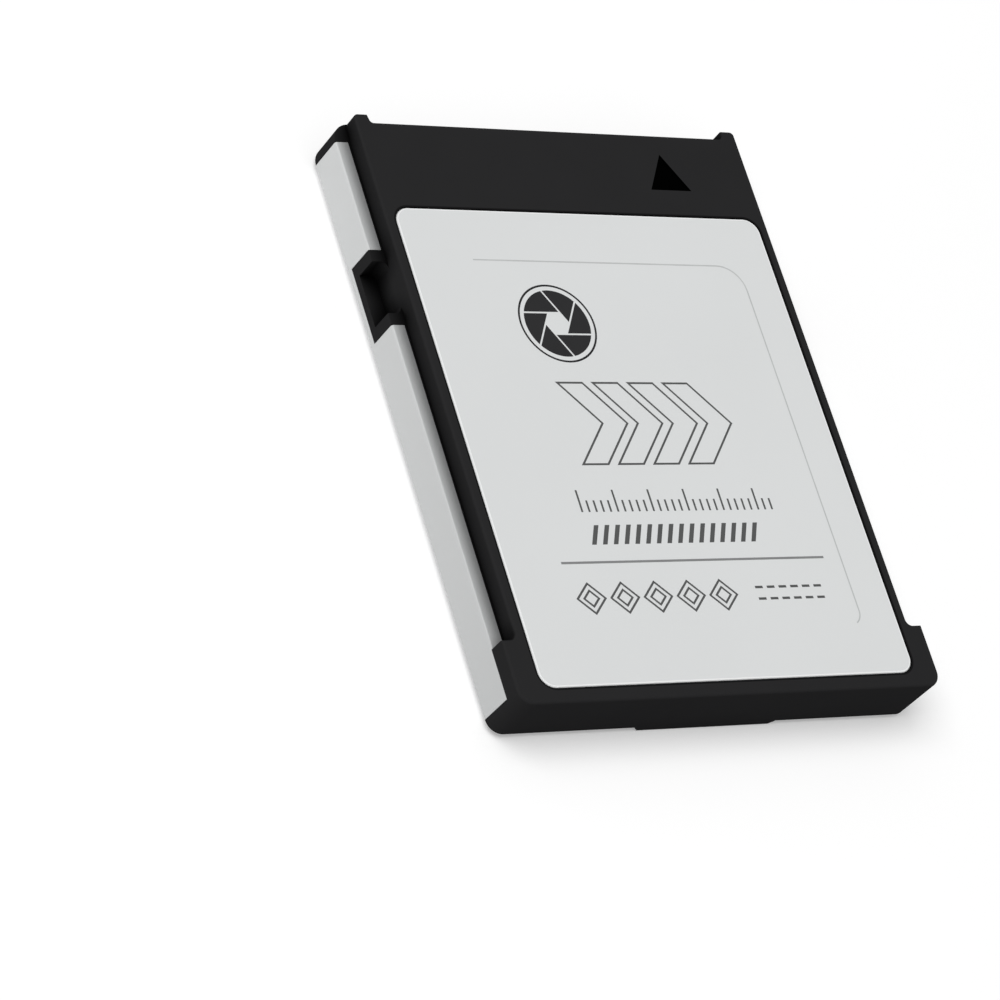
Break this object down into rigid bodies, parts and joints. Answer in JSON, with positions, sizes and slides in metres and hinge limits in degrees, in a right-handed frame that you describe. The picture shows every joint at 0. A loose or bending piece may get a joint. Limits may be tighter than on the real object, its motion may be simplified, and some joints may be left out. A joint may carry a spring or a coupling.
{
  "type": "memory card",
  "caption": "Flat memory card with a moulded frame, folded metal shell, inset front plate, stepped guide rails, side notches, a nail ridge and an end receptacle.",
  "frame": {"origin": "under the middle of the card, at the foot of the nail ridge on its back", "axes": "+Y runs from the tail to the connector end, +X to the right seen from the front, +Z from the back face to the front face"},
  "size_m": [0.0296, 0.0384, 0.0042],
  "materials": {
    "black_plastic": "fine satin moulded black",
    "shell_steel": "smooth satin steel sheet",
    "plate_aluminium": null,
    "adhesive_film": "thin black double-sided film",
    "film": "thin amber insulating film",
    "board_laminate": "green solder resist",
    "housing_plastic": "matt black moulding",
    "contact_alloy": "gold-plated copper alloy",
    "chip_mould": "matt black mould compound",
    "inductor_ferrite": "matt dark grey ferrite",
    "capacitor_body": "tan ceramic with tinned ends",
    "resistor_body": "black ceramic with tinned ends",
    "crystal_can": "plated metal lid",
    "thermal_pad": "soft grey-blue silicone"
  },
  "bodies": {
    "root": {"frame": "black_plastic", "back_shell": "shell_steel", "front_plate": "plate_aluminium", "plate_adhesive": "adhesive_film", "insulating_film": "film", "circuit_board": "board_laminate", "connector_housing": "housing_plastic", "connector_contacts": "contact_alloy", "controller_chip": "chip_mould", "flash_chip_top_left": "chip_mould", "flash_chip_top_right": "chip_mould", "flash_chip_bottom_left": "chip_mould", "flash_chip_bottom_right": "chip_mould", "power_regulator": "chip_mould", "load_switch": "chip_mould", "inductors": "inductor_ferrite", "bulk_capacitors": "capacitor_body", "bypass_capacitors": "capacitor_body", "resistors": "resistor_body", "clock_crystal": "crystal_can", "controller_thermal_pad": "thermal_pad", "flash_thermal_pad_top": "thermal_pad", "flash_thermal_pad_bottom": "thermal_pad"}
  },
  "joints": []
}
